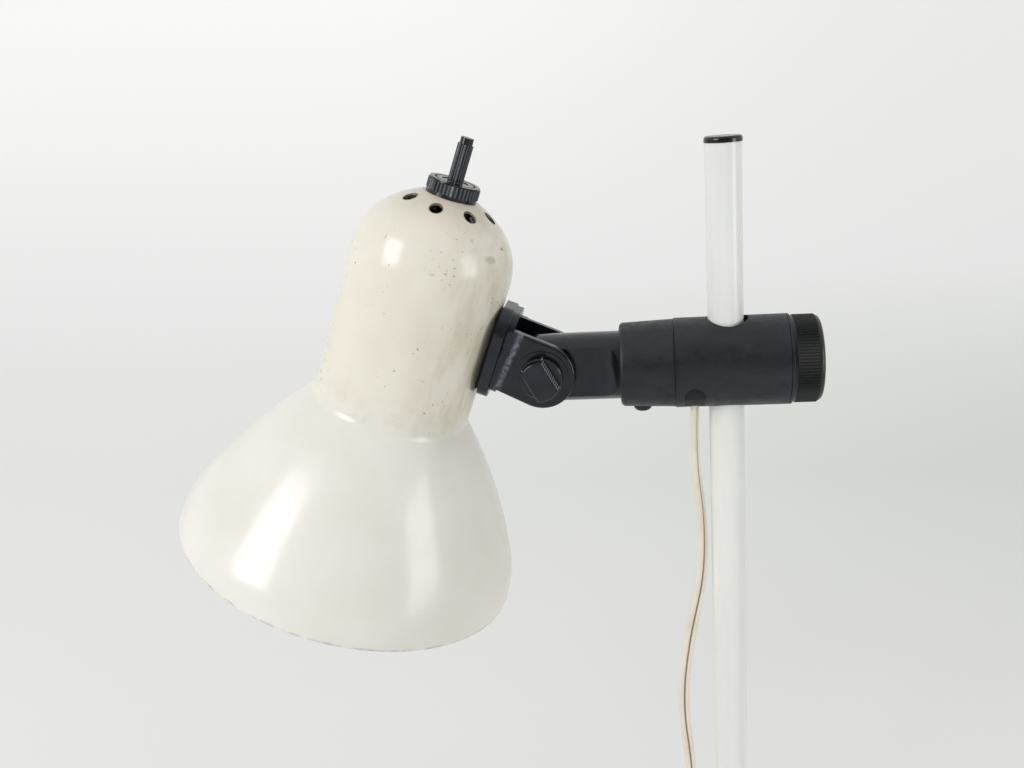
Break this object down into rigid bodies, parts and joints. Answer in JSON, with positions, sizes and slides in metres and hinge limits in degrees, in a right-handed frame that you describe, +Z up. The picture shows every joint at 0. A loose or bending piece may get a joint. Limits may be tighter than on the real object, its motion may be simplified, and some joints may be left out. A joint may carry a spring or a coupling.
{
  "type": "desk lamp",
  "caption": "Desk lamp: spun steel shade on a knuckle arm, clamped on a tubular post that stands on a weighted round base, with its cord coiled beside it.",
  "frame": {"origin": "on the post's axis at the underside of the base, where it stands on the table", "axes": "+Z up along the post; +X along the arm from the shade towards the clamp's knob; the front is -Y"},
  "size_m": [0.3606, 0.19, 0.4372],
  "materials": {
    "cream_enamel": "gloss enamel, inside and outside",
    "white_paint": "gloss paint",
    "cast_weight": "as cast",
    "foot_rubber": "matt",
    "black_fine": "fine grain, satin",
    "black_gloss": "moulded, half gloss",
    "black_rubber": "matt",
    "plated_steel": "zinc plated",
    "brass": "bright",
    "lamp_alloy": "bright",
    "bulb_glass": "inside frosted",
    "brown_resin": "moulded",
    "cord_cream": "satin",
    "flex_white": "satin",
    "pin_nickel": "satin nickel"
  },
  "bodies": {
    "base": {"base_cover": "white_paint", "base_weight": "cast_weight", "base_pad": "foot_rubber", "post_socket": "black_gloss", "socket_nut": "plated_steel"},
    "post": {"post": "white_paint", "post_cap": "black_gloss", "post_stud": "plated_steel", "post_washer": "plated_steel", "post_nut": "plated_steel", "cord_lead": "cord_cream", "cord_coil": "cord_cream", "plug_body": "cord_cream", "plug_pins": "pin_nickel"},
    "clamp": {"clamp_body": "black_fine", "cord_grip": "black_rubber", "end_collar": "black_fine"},
    "plunger": {"clamp_plunger": "black_fine"},
    "clamp_knob": {"clamp_knob": "black_fine", "clamp_screw": "plated_steel"},
    "arm": {"arm_sleeve": "black_gloss", "arm": "black_gloss", "swivel_clip": "plated_steel", "sleeve_screw": "black_gloss", "arm_flex": "flex_white"},
    "head": {"bracket_pad": "black_rubber", "neck_saddle": "black_gloss", "fork": "black_gloss", "friction_discs": "black_rubber", "pivot_nut": "plated_steel", "backing_strip": "plated_steel", "bracket_bolts": "plated_steel", "shade": "cream_enamel", "holder_cap": "brown_resin", "holder_bush": "brass", "holder_washer": "black_gloss", "holder_nut": "black_gloss", "contact_block": "brown_resin", "holder_body": "brown_resin", "screw_shell": "brass", "centre_contact": "brass", "bulb_cap": "lamp_alloy", "bulb_glass": "bulb_glass", "head_flex": "flex_white"},
    "pivot_knob": {"pivot_knob": "black_gloss", "pivot_screw": "plated_steel"},
    "switch": {"switch_spindle": "black_gloss", "switch_rotor": "brown_resin"}
  },
  "joints": [
    {"name": "post_turn", "type": "hinge", "parent": "base", "child": "post", "pos_m": [0, 0, 0], "axis": [0, 0, 1], "continuous": true},
    {"name": "clamp_slide", "type": "slide", "parent": "post", "child": "clamp", "axis": [0, 0, 1], "range_m": [-0.15, 0.075], "deforming": ["cord_lead"]},
    {"name": "plunger_slide", "type": "slide", "parent": "clamp", "child": "plunger", "axis": [1, 0, 0], "range_m": [0, 0.00187]},
    {"name": "clamp_knob_turn", "type": "hinge", "parent": "plunger", "child": "clamp_knob", "pos_m": [0, 0, 0.33], "axis": [1, 0, 0], "range_deg": [0, 540]},
    {"name": "arm_swivel", "type": "hinge", "parent": "clamp", "child": "arm", "pos_m": [0, 0, 0.33], "axis": [1, 0, 0], "range_deg": [-165, 165]},
    {"name": "head_tilt", "type": "hinge", "parent": "arm", "child": "head", "pos_m": [-0.083, 0, 0.33], "axis": [0, 1, 0], "range_deg": [-34, 55]},
    {"name": "pivot_knob_turn", "type": "hinge", "parent": "head", "child": "pivot_knob", "pos_m": [-0.083, 0, 0.33], "axis": [0, -1, 0], "range_deg": [0, 360]},
    {"name": "switch_turn", "type": "hinge", "parent": "head", "child": "switch", "pos_m": [-0.18816, 0, 0.24015], "axis": [0.3704, 0, 0.9289], "continuous": true}
  ],
  "couplings": [
    {"joint": "plunger_slide", "follows": "clamp_knob_turn", "m_per_rad": 0.00019894}
  ]
}
